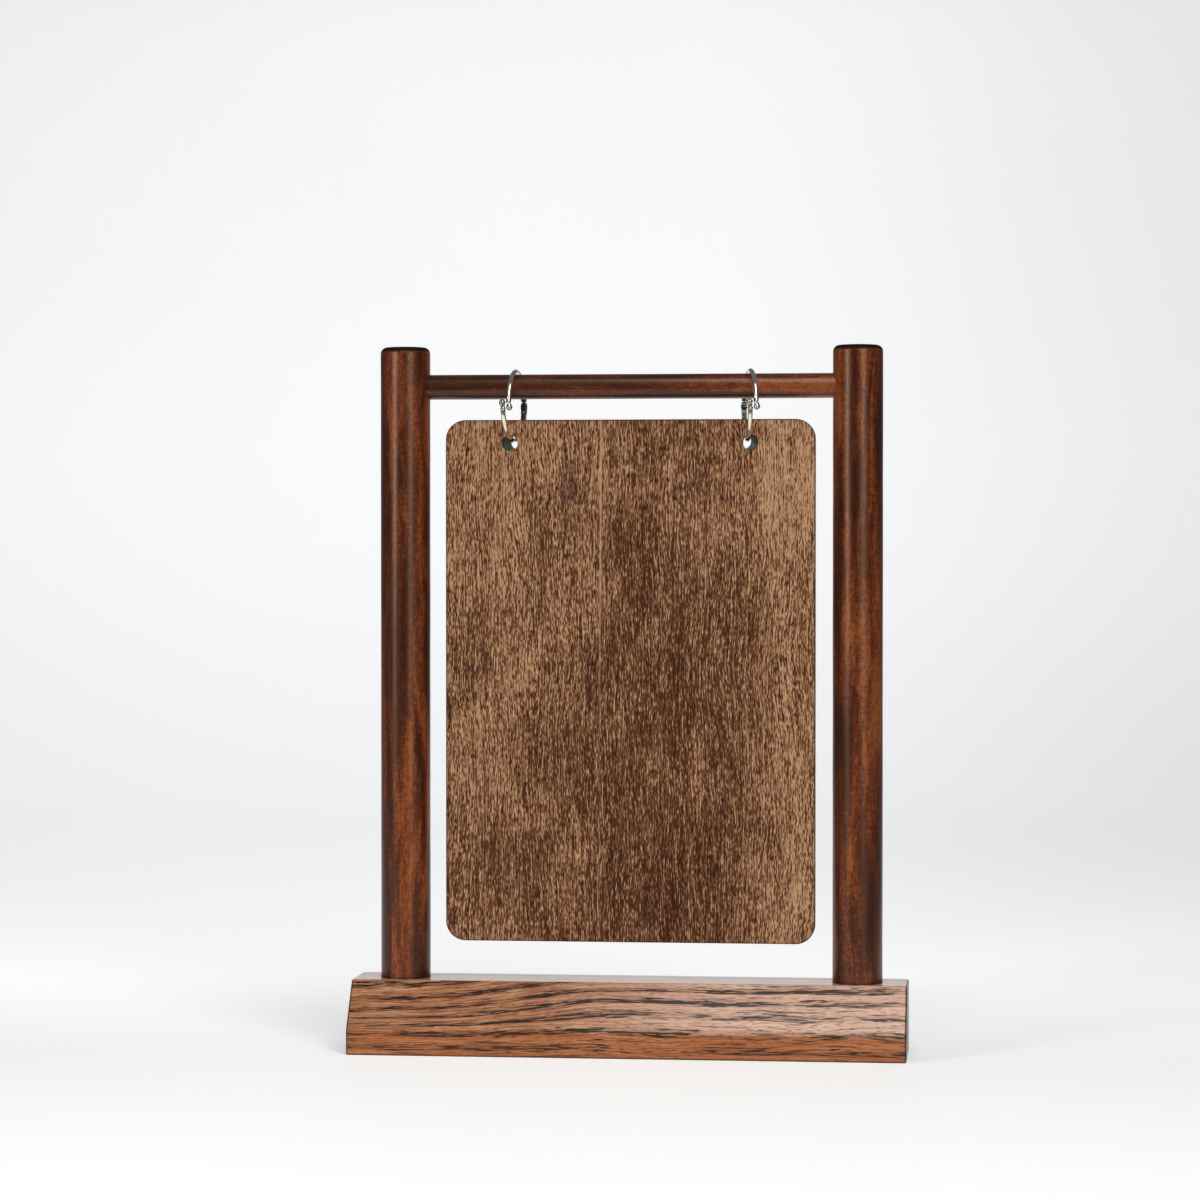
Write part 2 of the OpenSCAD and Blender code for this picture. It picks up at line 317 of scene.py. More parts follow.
def dark_wood(name, along, seed, top_z=None, middle_x=0.0, paler_right=0.0, coat=0.11, tone=0.5):
    """Walnut-stained dowel under satin lacquer, grain along 'X' or 'Z'.

    top_z is the height of a post's top, whose end grain is near black. A post gets paler towards its
    right side, or darker where paler_right is negative.
    """
    g = Graph(name)

    def cell(across, length):
        return (length, across, across) if along == "X" else (across, across, length)

    # the grain wanders sideways as it runs along the dowel
    sway = g.noise(g.stretched(cell(30, 75), seed), detail=1)
    sideways = (0.0, 1.0, 1.0) if along == "X" else (1.0, 1.0, 0.0)
    reach = 3.0 if along == "X" else 9.0
    drift = g.vmath("SCALE", sideways, scale=g.math("MULTIPLY", g.math("SUBTRACT", sway, 0.5), reach))
    g.place = g.vmath("ADD", g.place, drift)

    broad = g.noise(g.stretched(cell(8, 70), seed), detail=2, roughness=0.5, distortion=0.5)
    streak = g.noise(g.stretched(cell(3.0, 52), seed), detail=1.5, roughness=0.5, distortion=0.4)
    cloud = g.noise(g.stretched(cell(6, 30), seed), detail=3, roughness=0.6, distortion=0.3)
    mottle = g.noise(g.stretched(cell(0.65, 2.0), seed), detail=2, roughness=0.6)
    sanding = g.noise(g.stretched(cell(3.5, 0.6), seed), detail=1)
    fine = g.noise(g.stretched(cell(0.7, 9), seed), detail=2, roughness=0.6)
    dash = g.noise(g.stretched(cell(0.5, 2.8), seed), detail=1, roughness=0.5)
    tone = g.layered(tone, (broad, 0.58), (streak, 0.30), (cloud, 0.20), (mottle, 0.34), (fine, 0.18),
                     (sanding, 0.16))
    if along == "X":
        # the stain took more lightly towards the bar's right end
        tone = g.math("ADD", tone, g.remap(g.x, 30.0, 82.0, -0.015, 0.075, smooth=True))
    else:
        side = g.remap(g.x, middle_x - 10.0, middle_x + 10.0, -paler_right, paler_right)
        tone = g.math("ADD", tone, side)
    colour = g.ramp(tone, [(0.36, srgb(38, 11, 3)),
                           (0.46, srgb(60, 22, 7)),
                           (0.53, srgb(84, 36, 14)),
                           (0.64, srgb(126, 66, 29))])
    pores = g.remap(dash, 0.62, 0.72, smooth=True)
    colour = g.mix(g.math("MULTIPLY", pores, 0.45), colour, srgb(24, 10, 6))
    rough = g.remap(g.math("ADD", streak, g.math("MULTIPLY", fine, 0.5)), 0.4, 1.1, 0.27, 0.40)
    specular = 0.45
    if top_z is not None:
        # black end grain reaches raggedly over the rim
        cap = g.remap(g.layered(g.z, (cloud, 1.6)), top_z - 2.3, top_z - 1.3, smooth=True)
        colour = g.mix(g.math("MULTIPLY", cap, 0.95), colour, srgb(16, 11, 10))
        rough = g.math("MULTIPLY_ADD", cap, g.math("SUBTRACT", 0.7, rough), rough)
        specular = g.remap(cap, 0.0, 1.0, specular, 0.12)
        coat = g.remap(cap, 0.0, 1.0, coat, 0.0)
        # painted shade: darker just above the base, where the post stands in it
        base_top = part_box("base")[1].z / MM
        foot_shade = g.remap(g.z, base_top + 0.2, base_top + 1.1, 1.0, 0.0, smooth=True)
        colour = g.mix(g.math("MULTIPLY", foot_shade, 0.7), colour, srgb(20, 10, 8))
    normal = g.bump(g.math("SUBTRACT", g.math("MULTIPLY", fine, 0.5), pores), 0.05, 0.35)
    normal = g.bump(cloud, 0.5, 0.3, under=normal)
    return g.surface(Base_Color=colour, Roughness=rough, Normal=normal, Specular_IOR_Level=specular,
                     Specular_Tint=(1.0, 0.62, 0.42), Coat_Weight=coat, Coat_Roughness=0.20)


def plate_edge_distance(g, node, corner):
    """Millimetres from a point of an upright plate to its outline, negative inside."""
    lo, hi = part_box(node)
    mid, half = (lo + hi) / 2 / MM, (hi - lo) / 2 / MM
    dx = g.math("SUBTRACT", g.math("ABSOLUTE", g.math("SUBTRACT", g.x, mid.x)), half.x - corner)
    dz = g.math("SUBTRACT", g.math("ABSOLUTE", g.math("SUBTRACT", g.z, mid.z)), half.z - corner)
    outside = g.vmath("LENGTH", g.vector(g.math("MAXIMUM", dx, 0.0), 0.0, g.math("MAXIMUM", dz, 0.0)))
    inside = g.math("MINIMUM", g.math("MAXIMUM", dx, dz), 0.0)
    return g.math("SUBTRACT", g.math("ADD", outside, inside), corner)


def stained_ply():
    """Rotary-cut veneer, brown stain: short upright flecks, cloudy dark areas, a paler strip."""
    g = Graph("stained_ply")
    lo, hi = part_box("menu_board")
    floor_z, top_z = lo.z / MM, hi.z / MM
    sway = g.noise(g.stretched((28, 28, 60)), detail=2, roughness=0.5)
    bent_x = g.layered(g.x, (sway, 9.0))

    def fleck(across, length, seed, detail, rough, distortion=0.0):
        """Upright noise cells of that many millimetres."""
        vector = g.vector(g.math("MULTIPLY", g.math("ADD", bent_x, seed), 1 / across),
                          g.math("MULTIPLY", g.y, 1 / across), g.math("MULTIPLY", g.z, 1 / length))
        return g.noise(vector, detail=detail, roughness=rough, distortion=distortion)

    short = fleck(0.44, 3.8, 3, detail=1, rough=0.5)
    long = fleck(0.50, 18, 17, detail=1.5, rough=0.55)
    hair = fleck(0.36, 1.8, 31, detail=0.5, rough=0.6)
    cloud = fleck(15, 40, 5, detail=2, rough=0.55, distortion=0.4)
    patch = fleck(5.5, 16, 45, detail=1, rough=0.5, distortion=0.8)
    tone = g.layered(0.507, (short, 0.66), (long, 0.52), (hair, 0.56), (cloud, 0.24), (patch, 0.06))
    # darker down the middle, paler towards both sides and the top
    off_centre = g.math("ABSOLUTE", g.math("SUBTRACT", bent_x, 14.0))
    tone = g.math("ADD", tone, g.remap(off_centre, 8.0, 62.0, -0.036, 0.030))
    tone = g.math("ADD", tone, g.remap(g.z, top_z - 110, top_z - 10, 0.0, 0.06))
    # lighter veneer strip down the right side
    strip_x = 52.0
    strip = g.remap(bent_x, strip_x - 0.6, strip_x + 0.6, smooth=True)
    tone = g.math("ADD", tone, g.math("MULTIPLY", strip, 0.042))

    def upright_line(x, across, half_width):
        """1 on an upright line at x, fading out about its half width away."""
        away = g.math("ABSOLUTE", g.math("SUBTRACT", across, x))
        return g.remap(away, half_width * 0.4, half_width * 1.4, 1.0, 0.0, smooth=True)

    # a pale joint left of the middle and a dark vein by the left edge
    seam = upright_line(-13.0, g.math("SUBTRACT", g.x, g.math("MULTIPLY", g.z, 0.006)), 0.36)
    vein = g.math("MULTIPLY", upright_line(-63.0, bent_x, 0.30), g.remap(patch, 0.42, 0.55))
    # small smoky burl high on the left
    burl_at = g.vector(g.math("DIVIDE", g.math("ADD", bent_x, 26.0), 3.2), 0.0,
                       g.math("DIVIDE", g.math("SUBTRACT", g.z, top_z - 30), 11.0))
    burl = g.layered(g.vmath("LENGTH", burl_at), (patch, 1.6))
    burl = g.remap(burl, 0.25, 1.15, 0.52, 0.0, smooth=True)
    colour = g.ramp(tone, [(0.34, srgb(42, 17, 6)),
                           (0.44, srgb(68, 36, 18)),
                           (0.51, srgb(93, 58, 36)),
                           (0.58, srgb(121, 84, 58)),
                           (0.68, srgb(172, 136, 104))])
    seam = g.math("MULTIPLY", seam, g.remap(g.z, floor_z + 60, top_z - 30, 0.08, 0.62, smooth=True))
    colour = g.mix(seam, colour, srgb(188, 146, 112))
    colour = g.mix(g.math("MULTIPLY", vein, 0.7), colour, srgb(54, 28, 14))
    colour = g.mix(burl, colour, srgb(66, 42, 36))
    # scorched rim of the laser-cut outline, and the burnt plies of its edge and holes
    away = plate_edge_distance(g, "menu_board", PLATE_CORNER / MM)
    ragged = g.layered(away, (short, 0.5))
    rim = g.remap(ragged, -0.75, -0.15, smooth=True)
    colour = g.mix(g.math("MULTIPLY", rim, 0.75), colour, srgb(48, 36, 30))
    normal_y = g.add("ShaderNodeSeparateXYZ", Vector=g.coords.outputs["Normal"]).outputs[1]
    side = g.remap(g.math("ABSOLUTE", normal_y), 0.80, 0.35, smooth=True)
    ply_z = g.remap(g.noise(g.stretched((9, 0.35, 9)), detail=1), 0.4, 0.6)
    burnt = g.mix(ply_z, srgb(26, 19, 16), srgb(52, 36, 28))
    colour = g.mix(side, colour, burnt)
    relief = g.math("ADD", g.math("MULTIPLY", short, 0.6), g.math("MULTIPLY", hair, 0.4))
    normal = g.bump(relief, 0.06, 0.5)
    rough = g.remap(short, 0.3, 0.7, 0.58, 0.72)
    return g.surface(Base_Color=colour, Roughness=rough, Normal=normal, Specular_IOR_Level=0.15,
                     Specular_Tint=(1.0, 0.88, 0.76))


def dark_panel():
    """Thin panel with a matt grey-green coating, lightly scuffed."""
    g = Graph("dark_panel")
    grain = g.noise(g.stretched((0.5, 0.5, 0.5)), detail=3, roughness=0.6)
    cloud = g.noise(g.stretched((30, 30, 44), (4, 9, 2)), detail=3, roughness=0.55)
    scuff = g.noise(g.stretched((0.8, 1, 14), (8, 1, 5)), detail=3, roughness=0.7, distortion=0.8)
    smear = g.noise(g.stretched((46, 1, 7), (3, 2, 9)), detail=4, roughness=0.65, distortion=1.2)
    tone = g.math("ADD", g.math("MULTIPLY", grain, 0.34), g.math("MULTIPLY", cloud, 0.36))
    tone = g.math("ADD", tone, g.math("MULTIPLY", smear, 0.30))
    colour = g.ramp(tone, [(0.34, srgb(70, 82, 76)),
                           (0.5, srgb(94, 108, 100)),
                           (0.68, srgb(124, 138, 129))])
    marks = g.remap(scuff, 0.62, 0.74, smooth=True)
    colour = g.mix(g.math("MULTIPLY", marks, 0.42), colour, srgb(132, 140, 134))
    away = plate_edge_distance(g, "back_panel", PLATE_CORNER / MM)
    rim = g.remap(g.layered(away, (grain, 1.2)), -0.6, 0.0, smooth=True)
    colour = g.mix(g.math("MULTIPLY", rim, 0.5), colour, srgb(92, 88, 76))
    normal = g.bump(grain, 0.05, 0.4)
    rough = g.remap(cloud, 0.3, 0.7, 0.62, 0.78)
    return g.surface(Base_Color=colour, Roughness=rough, Normal=normal, Specular_IOR_Level=0.35)


def plated(name, tint, smooth, rough, tarnish, dull_from_y=None, catch_z=None):
    """Plated metal with faint drawing lines, tarnished in patches.

    A ring is also dull at its hinge, behind dull_from_y, and darker round its catch, at the height catch_z,
    with painted shade between its knobs.
    """
    g = Graph(name)
    cloud = g.noise(g.stretched((3.0, 3.0, 3.0)), detail=3, roughness=0.6)
    fine = g.noise(g.stretched((0.25, 0.25, 0.9)), detail=2, roughness=0.6)
    colour = g.mix(g.remap(cloud, 0.45, 0.75, 0.0, tarnish), tint, srgb(120, 108, 88))
    roughness = g.remap(cloud, 0.3, 0.7, smooth, rough)
    if dull_from_y is not None:
        hinge = g.remap(g.y, dull_from_y, dull_from_y + 1.0, smooth=True)
        dull = g.math("MULTIPLY", hinge, g.remap(fine, 0.3, 0.6, 1.0, 0.75))
        colour = g.mix(dull, colour, srgb(58, 56, 52))
        roughness = g.math("ADD", roughness, g.math("MULTIPLY", hinge, 0.12))
    if catch_z is not None:
        # painted shade: darker round the catch, between the knobs
        away = g.math("ABSOLUTE", g.math("SUBTRACT", g.z, catch_z))
        near = g.remap(away, 1.6, 3.2, 1.0, 0.0, smooth=True)
        near = g.math("MULTIPLY", near, g.remap(g.y, 2.0, 4.0, 1.0, 0.0))
        catch_shade = g.math("MULTIPLY", near, g.remap(cloud, 0.35, 0.6, 0.85, 0.45))
        colour = g.mix(catch_shade, colour, srgb(92, 86, 76))
    normal = g.bump(fine, 0.012, 0.35)
    return g.surface(Base_Color=colour, Metallic=1.0, Roughness=roughness, Normal=normal)


def studio_paper():
    """White seamless paper with a glow of its own, more behind the stand and less to the right."""
    g = Graph("studio_paper")
    mottling = g.noise(g.stretched((260, 260, 260)), detail=2)
    shade = g.ramp(mottling, [(0.3, (0.87, 0.88, 0.88)), (0.7, (0.89, 0.90, 0.90))])
    behind = g.remap(g.y, -60.0, 260.0, 0.0, GLOW_BEHIND, smooth=True)
    rising = g.remap(g.z, 5.0, 230.0, 0.0, GLOW_RISING, smooth=True)
    glow = g.math("ADD", behind, rising)
    glow = g.math("ADD", glow, g.remap(g.z, 300.0, 750.0, GLOW_EVERYWHERE, GLOW_EVERYWHERE - 0.10))
    glow = g.math("MULTIPLY", glow, g.remap(g.x, -200.0, 420.0, 1.0, 0.78, smooth=True))
    return g.surface(Base_Color=shade, Roughness=0.7, Specular_IOR_Level=0.1,
                     Emission_Color=(0.93, 0.96, 1.0), Emission_Strength=glow)


# ---------------------------------------------------------------- mesh helpers

def shade(mesh, crease=CREASE):
    """Shades a mesh smooth, with sharp edges where it turns by more than crease degrees."""
    mesh.shade_smooth()
    mesh.set_sharp_from_angle(angle=math.radians(crease))


def mesh_object(name, bm, material=None):
    bmesh.ops.recalc_face_normals(bm, faces=bm.faces)
    mesh = bpy.data.meshes.new(name)
    bm.to_mesh(mesh)
    bm.free()
    shade(mesh)
    mesh.materials.append(material)
    piece = bpy.data.objects.new(name, mesh)
    bpy.context.scene.collection.objects.link(piece)
    return piece


def skin_loops(bm, loops, round_trip=False):
    """Skins a row of equal closed loops of points.

    On a round trip the last loop joins the first, otherwise both get caps.
    """
    rows = [[bm.verts.new(p) for p in loop] for loop in loops]
    count = len(rows[0])
    following = rows[1:] + rows[:1] if round_trip else rows[1:]
    for a, b in zip(rows, following):
        for i in range(count):
            j = (i + 1) % count
            bm.faces.new((a[i], a[j], b[j], b[i]))
    if not round_trip:
        bm.faces.new(rows[0][::-1])
        bm.faces.new(rows[-1])


def finish_piece(piece, body, slot, *nodes):
    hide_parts(*nodes)
    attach(piece, body)
    return piece


def cut(piece, cutters):
    """Subtracts the cutters from the piece for good, and marks the new rims as sharp edges."""
    for cutter in cutters:
        modifier = piece.modifiers.new("cut", "BOOLEAN")
        modifier.operation = "DIFFERENCE"
        modifier.solver = "EXACT"
        modifier.object = cutter
    graph = bpy.context.evaluated_depsgraph_get()
    mesh = bpy.data.meshes.new_from_object(piece.evaluated_get(graph))
    shade(mesh)
    piece.modifiers.clear()
    old = piece.data
    piece.data = mesh
    bpy.data.meshes.remove(old)
    for cutter in cutters:
        bpy.data.objects.remove(cutter)


# ---------------------------------------------------------------- stand

def arc(centre, radius, start, end, steps):
    """Points of an arc in a plane, angles in degrees."""
    turn = [math.radians(start + (end - start) * i / steps) for i in range(steps + 1)]
    return [Vector((centre[0] + radius * math.cos(t), centre[1] + radius * math.sin(t))) for t in turn]


def lathe(bm, profile, origin, axis="Z", segments=96, waver=0.0, seed=0.0, bored=False):
    """Turns (radius, height) points about an axis through origin.

    bored joins the profile's last point to its first, and leaves a hole along the axis. waver makes a
    hand-sanded, slightly uneven surface.
    """
    loops = []
    for radius, height in profile:
        loop = []
        for i in range(segments):
            a = TAU * i / segments
            rough = noise.noise(Vector((math.cos(a) * 1.3, math.sin(a) * 1.3, height / MM / 28 + seed)))
            r = radius * (1 + waver * rough)
            across, up = r * math.cos(a), r * math.sin(a)
            local = Vector((across, up, height)) if axis == "Z" else Vector((height, across, up))
            loop.append(origin + local)
        loops.append(loop)
    skin_loops(bm, loops, round_trip=bored)


def cylinder_cutter(centre, radius, low, high, axis="Z"):
    bm = bmesh.new()
    lathe(bm, [(radius, low), (radius, high)], centre, axis, segments=64)
    return mesh_object("cutter", bm)


def make_base():
    lo, hi, size = size_of("base")
    ease = BASE_EASE
    lean = math.degrees(math.atan2(hi.z - BASE_STRIP_H, BASE_SLOPE_RUN))
    edge_tan = math.tan(math.radians(lean / 2))
    knee_tan = math.tan(math.radians((90 - lean) / 2))
    # a row of points just inside each edge of the top keeps the flat between them evenly shaded
    flat_from = 0.5 * MM

    def outline(inset):
        """The base's end outline in Y and Z, drawn in by inset, with eased corners."""
        e = max(ease - inset, 0.12 * MM)
        knee_e = 3 * e
        front, back, top, floor = lo.y + inset, hi.y - inset, hi.z - inset, lo.z + inset
        knee = BASE_STRIP_H - inset * knee_tan
        top_y = lo.y + BASE_SLOPE_RUN + (inset + e) * edge_tan
        points = arc((front + e, floor + e), e, 270, 180, 5)
        points += arc((front + knee_e, knee - knee_e * knee_tan), knee_e, 180, 90 + lean, 4)
        points += arc((top_y, top - e), e, 90 + lean, 90, 5)
        points += [Vector((top_y + flat_from, top)), Vector((back - e - flat_from, top))]
        points += arc((back - e, top - e), e, 90, 0, 5)
        points += arc((back - e, floor + e), e, 0, -90, 5)
        return points

    end_steps, spans = 5, 44
    turns = [math.radians(90 * i / end_steps) for i in range(end_steps + 1)]
    near_end = [(lo.x + ease * (1 - math.cos(t)), ease * (1 - math.sin(t))) for t in turns]
    middle = [(lo.x + ease + (size.x - 2 * ease) * i / spans, 0.0) for i in range(1, spans)]
    middle = [(lo.x + ease + flat_from, 0.0), *middle, (hi.x - ease - flat_from, 0.0)]
    far_end = [(hi.x - (x - lo.x), inset) for x, inset in reversed(near_end)]
    bm = bmesh.new()
    loops = []
    for x, inset in near_end + middle + far_end:
        loop = []
        for p in outline(inset):
            swell = abs(noise.noise(Vector((x / MM / 40, p.y / MM / 22, p.x / MM / 25)))) * BASE_SWELL
            # front, back and top waver inwards only, and nothing wavers at the floor
            swell *= min(1.0, max(0.0, (p.y - lo.z) / (2 * MM)))
            outward = -1 if p.x < 0 else 1
            loop.append(Vector((x, p.x - outward * swell, p.y - swell * 0.6)))
        loops.append(loop)
    skin_loops(bm, loops)
    piece = mesh_object("base_block", bm, materials["base_oak"])
    cutters = []
    for side in ("left", "right"):
        screw_lo, _, screw_size = size_of(f"post_screw_{side}")
        socket_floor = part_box(f"post_{side}")[0].z
        spot = centre_of(f"post_screw_{side}")
        spot.z = 0
        head_r = screw_size.x / 2
        cutters.append(cylinder_cutter(spot, head_r + SCREW_GAP, -MM, screw_lo.z))
        cutters.append(cylinder_cutter(spot, head_r * 0.55, -MM, 20 * MM))
        cutters.append(cylinder_cutter(spot, SOCKET_R, socket_floor, hi.z + MM))
    cut(piece, cutters)
    return finish_piece(piece, "stand", "base_oak", "base")


def make_post(side):
    node = f"post_{side}"
    lo, hi, size = size_of(node)
    radius, height = size.x / 2, size.z
    centre_r, steps = 0.3 * MM, 60
    rows = [height * i / steps for i in range(1, steps)]
    profile = [(centre_r, 0.0), (radius - DOWEL_EASE, 0.0), (radius, DOWEL_EASE)]
    profile += [(radius, row) for row in rows if row < height - POST_RIM - MM]
    profile += [(p.x, p.y) for p in arc((radius - POST_RIM, height - POST_RIM), POST_RIM, 0, 90, 9)]
    profile += [(radius * 0.5, height), (centre_r, height)]
    bm = bmesh.new()
    origin = Vector(((lo.x + hi.x) / 2, (lo.y + hi.y) / 2, lo.z))
    lathe(bm, profile, origin, segments=128, waver=0.006, seed=3.0 if side == "left" else 9.0)
    piece = mesh_object(f"{node}_dowel", bm, materials[node])
    bar_middle, bar_r = centre_of("crossbar"), size_of("crossbar")[2].z / 2
    inward = 1 if side == "left" else -1
    low, high = sorted((inward * (radius * 0.2), inward * (radius + 2 * MM)))
    spot = Vector((origin.x, bar_middle.y, bar_middle.z))
    cut(piece, [cylinder_cutter(spot, bar_r + FIT_GAP, low, high, axis="X")])
    return finish_piece(piece, "stand", "dark_wood", node)


def make_crossbar():
    lo, hi, size = size_of("crossbar")
    radius = size.z / 2
    centre_r, steps = 0.2 * MM, 60
    profile = [(centre_r, 0.0), (radius - DOWEL_EASE, 0.0), (radius, DOWEL_EASE)]
    profile += [(radius, size.x * i / steps) for i in range(1, steps)]
    profile += [(radius, size.x - DOWEL_EASE), (radius - DOWEL_EASE, size.x), (centre_r, size.x)]
    bm = bmesh.new()
    origin = Vector((lo.x, (lo.y + hi.y) / 2, (lo.z + hi.z) / 2))
    lathe(bm, profile, origin, axis="X", segments=96, waver=0.008, seed=20.0)
    piece = mesh_object("crossbar_dowel", bm, materials["crossbar"])
    return finish_piece(piece, "stand", "dark_wood", "crossbar")


# ---------------------------------------------------------------- board and panel

def make_plate(name, node, body, slot, material, hole_x, hole_drop, ease):
    """Upright plate with eased edges and two round holes below its top edge, from one filled curve."""
    lo, hi, size = size_of(node)
    corner, corner_steps, hole_steps = PLATE_CORNER, 14, 48
    curve = bpy.data.curves.new(name, "CURVE")
    curve.dimensions = "2D"
    curve.fill_mode = "BOTH"
    curve.extrude = size.y / 2 - ease
    curve.bevel_depth = ease
    curve.bevel_resolution = 3
    curve.offset = -ease

    def add_spline(points):
        spline = curve.splines.new("POLY")
        spline.points.add(len(points) - 1)
        for target, p in zip(spline.points, points):
            target.co = (p.x, p.y, 0, 1)
        spline.use_cyclic_u = True

    x0, x1, z0, z1 = lo.x + corner, hi.x - corner, lo.z + corner, hi.z - corner
    outline = []
    for x, z, turn in ((x1, z0, -90), (x1, z1, 0), (x0, z1, 90), (x0, z0, 180)):
        outline += arc((x, z), corner, turn, turn + 90, corner_steps)
    add_spline(outline)
    for x in (-hole_x, hole_x):
        add_spline(arc((x, hi.z - hole_drop), HOLE_R, 360, 0, hole_steps)[:-1])
    flat = bpy.data.objects.new(name + "_curve", curve)
    bpy.context.scene.collection.objects.link(flat)
    graph = bpy.context.evaluated_depsgraph_get()
    mesh = bpy.data.meshes.new_from_object(flat.evaluated_get(graph))
    bpy.data.objects.remove(flat)
    upright = Matrix.Rotation(math.radians(90), 4, "X")
    mesh.transform(Matrix.Translation((0, (lo.y + hi.y) / 2, 0)) @ upright)
    mesh.materials.clear()
    mesh.materials.append(material)
    bm = bmesh.new()
    bm.from_mesh(mesh)
    bmesh.ops.remove_doubles(bm, verts=bm.verts, dist=0.002 * MM)
    bmesh.ops.recalc_face_normals(bm, faces=bm.faces)
    bm.to_mesh(mesh)
    bm.free()
    shade(mesh, crease=30.0)
    piece = bpy.data.objects.new(name, mesh)
    bpy.context.scene.collection.objects.link(piece)
    return finish_piece(piece, body, slot, node)


# ---------------------------------------------------------------- rings

class Ring:
    """One binder ring's own frame: x along its hinge pin, y to the back, z up, origin at its middle."""

    def __init__(self, side):
        opening = joints[f"{side}_ring_open"]
        pin, along_pin = Vector(opening["pos_m"]), -Vector(opening["axis"]).normalized()
        middle = Vector(joints["board_lift"]["pos_m"])
        back = Vector((0, 0, 1)).cross(along_pin)
        self.radius = (pin.y - middle.y) / back.y
        turned = Matrix((along_pin, back, (0, 0, 1))).transposed().to_4x4()
        self.matrix = Matrix.Translation(pin - back * self.radius) @ turned
        self.pin_half = size_of(f"ring_{side}_pin")[2].x / abs(along_pin.x) / 2

    def wire_point(self, angle, up):
        """Point on the wire's centre line in the ring's frame, 0 at the hinge and 180 at the catch."""
        a = math.radians(angle)
        p = Vector((0, self.radius * math.cos(a) - self.radius, self.radius * math.sin(a)))
        p = Matrix.Rotation(up * SPLAY, 3, "Z") @ p
        return p + Vector((0, self.radius, 0))


def tube(bm, path, radii, sides=24):
    """Round wire along a path that lies nearly square to X, with a radius for each point."""
    loops = []
    for i, (p, r) in enumerate(zip(path, radii)):
        ahead = path[min(i + 1, len(path) - 1)] - path[max(i - 1, 0)]
        ahead.normalize()
        across = Vector((1, 0, 0))
        across = (across - ahead * across.dot(ahead)).normalized()
        out = ahead.cross(across)
        turns = [TAU * k / sides for k in range(sides)]
        loops.append([p + across * r * math.cos(t) + out * r * math.sin(t) for t in turns])
    skin_loops(bm, loops)


def eye_disc(bm, ring, low, high, bore):
    """Flat eye round the hinge pin between two places along it, bored through and with eased rims."""
    ease = STRAP_EDGE
    profile = [(bore, low), (EYE_R - ease, low), (EYE_R, low + ease),
               (EYE_R, high - ease), (EYE_R - ease, high), (bore, high)]
    lathe(bm, profile, Vector((0, ring.radius, 0)), axis="X", segments=40, bored=True)


def strap(bm, ring, x_from, x_to, up, low, high, ribs=0):
    """Flat strap along the wire by the hinge, between two heights from the pin, with pressed cross ribs."""
    steps = max(4, 8 * ribs)
    e = STRAP_EDGE
    loops = []
    for i in range(steps + 1):
        t = i / steps
        h = low + (high - low) * t
        y = ring.radius * math.cos(math.asin(h / ring.radius))
        wave = 0.5 - 0.5 * math.cos(TAU * ribs * t) if ribs else 1.0
        taper = min(1.0, (1 - t) * 3 + 0.25) if ribs else 1.0
        half = (0.95 + 0.25 * taper * (0.45 + 0.55 * wave)) * MM
        side_in = (1 - wave) * 0.14 * MM
        x0, x1 = x_from + side_in, x_to - side_in
        near, far = y - half, y + half
        corners = ((x0 + e, near), (x1 - e, near), (x1, near + e), (x1, far - e),
                   (x1 - e, far), (x0 + e, far), (x0, far - e), (x0, near + e))
        loops.append([Vector((corner_x, corner_y, up * h)) for corner_x, corner_y in corners])
    skin_loops(bm, loops)


def bell(distance, at, width):
    """1 at one distance, fading to nothing about two widths either side of it."""
    return math.exp(-((distance - at) / width) ** 2)


def make_half(side, half, ring):
    """The 'upper' or 'lower' half: an eyed, ribbed strap at the hinge, then wire, then a catch knob."""
    up = 1 if half == "upper" else -1
    end, steps = 180 + CATCH_OVERLAP, 110
    path, radii = [], []
    for i in range(steps + 1):
        angle = WIRE_START + (end - WIRE_START) * i / steps
        p = ring.wire_point(up * angle, up)
        behind = math.radians(end - angle) * ring.radius
        near = max(0.0, 1 - behind / KNOB_BEND)
        p.x += up * KNOB_OUT * near * near * (3 - 2 * near)
        # behind the knob the wire narrows to a neck, then swells to a collar
        neck = 1 - 0.20 * bell(behind, 1.75 * MM, 0.32 * MM)
        collar = 1 + 0.26 * bell(behind, 2.45 * MM, 0.26 * MM)
        ball = math.sqrt(max(0.0, KNOB_R ** 2 - behind ** 2))
        path.append(p)
        radii.append(max(WIRE_R * neck * collar, ball))
    # the knob's front closes in rows at these shares of its radius
    ahead = (path[-1] - path[-2]).normalized()
    centre = path[-1]
    for share in (0.25, 0.5, 0.7, 0.85, 0.95, 0.995):
        path.append(centre + ahead * KNOB_R * share)
        radii.append(KNOB_R * math.sqrt(1 - share * share))
    bm = bmesh.new()
    tube(bm, path, radii)
    root = ring.radius * math.sin(math.radians(WIRE_START))
    if half == "upper":
        eyes, bore = [(-TONGUE_HALF, TONGUE_HALF)], PIN_R + PIN_RUN
    else:
        inner = TONGUE_HALF + CHEEK_GAP
        eyes, bore = [(-FORK_HALF, -inner), (inner, FORK_HALF)], PIN_R
    for low, high in eyes:
        eye_disc(bm, ring, low, high, bore)
        strap(bm, ring, low, high, up, bore + 0.15 * MM, root + 0.5 * MM)
    strap(bm, ring, -FORK_HALF, FORK_HALF, up, root, root + STRAP_LENGTH, ribs=6)
    bm.transform(ring.matrix)
    piece = mesh_object(f"ring_{side}_{half}_wire", bm, materials["nickel"])
    body = f"{side}_ring" if half == "lower" else f"{side}_gate"
    return finish_piece(piece, body, "nickel_wire", f"ring_{side}_{half}")


